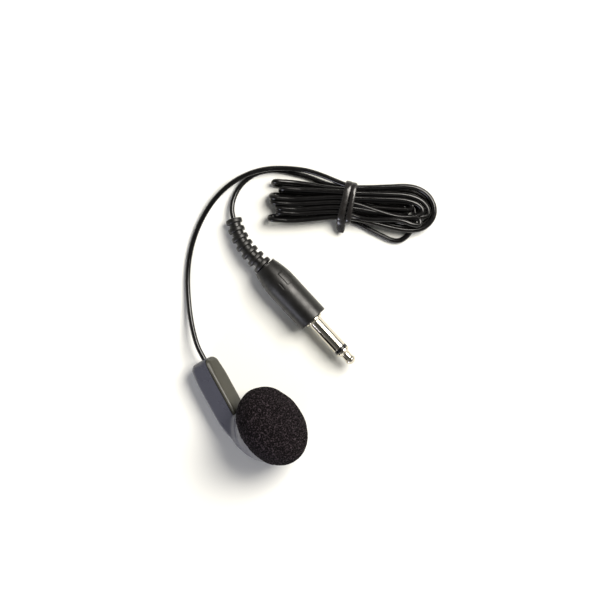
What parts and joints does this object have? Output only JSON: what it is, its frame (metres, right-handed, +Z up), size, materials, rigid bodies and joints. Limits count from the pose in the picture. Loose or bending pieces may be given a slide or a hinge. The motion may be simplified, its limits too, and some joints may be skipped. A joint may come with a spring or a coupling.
{
  "type": "in-ear earphone",
  "caption": "Mono in-ear earphone: a foam-cushioned speaker head on a slim two-piece stem, with a tied hank of thin lead and a ribbed 3.5 mm two-pole plug.",
  "frame": {"origin": "on the table under the middle of the earpiece's box (cushion, head and stem, without the lead, hank and plug)", "axes": "+Y along the stem from the head to the cord's exit, +X to the side that the ear face looks to, +Z up from the table"},
  "size_m": [0.0729, 0.0677, 0.0189],
  "materials": {
    "cushion_foam": "open-cell foam, matt",
    "cap_plastic": "moulded ABS, fine satin",
    "grille_steel": "punched steel, black paint",
    "shell_plastic": "moulded ABS, satin, bluish dark grey",
    "cover_plastic": "moulded ABS, satin, olive grey",
    "damping_cloth": "woven nylon",
    "film": "clear polyester film",
    "copper_wire": "enamelled copper wire",
    "brass": "stamped brass",
    "frame_plastic": "moulded ABS",
    "steel": "zinc-plated mild steel",
    "magnet_alloy": "nickel-plated neodymium",
    "paper": "felted acoustic paper",
    "circuit_board": "glass-epoxy board",
    "solder": "tin-lead solder",
    "cord_pvc": "extruded PVC, glossy",
    "red_insulation": "PVC wire insulation",
    "black_insulation": "PVC wire insulation",
    "nickel_plate": "nickel-plated brass, polished",
    "insulator_plastic": "black acetal",
    "mould_plastic": "polyethylene inner mould",
    "plug_pvc": "moulded PVC, satin",
    "tie_pvc": "PVC twist tie, glossy"
  },
  "bodies": {
    "earpiece": {"front_cap": "cap_plastic", "grille": "grille_steel", "rear_shell": "shell_plastic", "stem_cover": "cover_plastic", "damping_cloth": "damping_cloth", "diaphragm_ring": "brass", "driver_frame": "frame_plastic", "pole_plate": "steel", "magnet": "magnet_alloy", "yoke": "steel", "rear_damping_paper": "paper", "terminal_board": "circuit_board", "solder_dots": "solder", "cord_knot": "cord_pvc", "signal_wire": "red_insulation", "return_wire": "black_insulation", "earphone_lead": "cord_pvc", "plug_lead": "cord_pvc", "cord_hank": "cord_pvc", "tie_band": "tie_pvc", "strain_relief": "plug_pvc", "plug_barrel": "plug_pvc", "plug_sleeve": "nickel_plate", "plug_tip": "nickel_plate", "plug_insulator": "insulator_plastic", "rear_washer": "insulator_plastic", "tip_lug": "brass", "sleeve_lug": "brass", "plug_solder": "solder", "plug_signal_wire": "red_insulation", "plug_return_wire": "black_insulation", "inner_mould": "mould_plastic"},
    "cushion": {"foam_cushion": "cushion_foam"},
    "moving_coil": {"diaphragm": "film", "voice_coil": "copper_wire"}
  },
  "joints": [
    {"name": "foam_pull", "type": "slide", "parent": "earpiece", "child": "cushion", "axis": [0.8506, 0.1059, 0.515], "range_m": [0, 0.012]},
    {"name": "diaphragm_travel", "type": "slide", "parent": "earpiece", "child": "moving_coil", "axis": [0.8506, 0.1059, 0.515], "range_m": [-0.0002, 0.0002], "stiffness_N_per_m": 60}
  ]
}
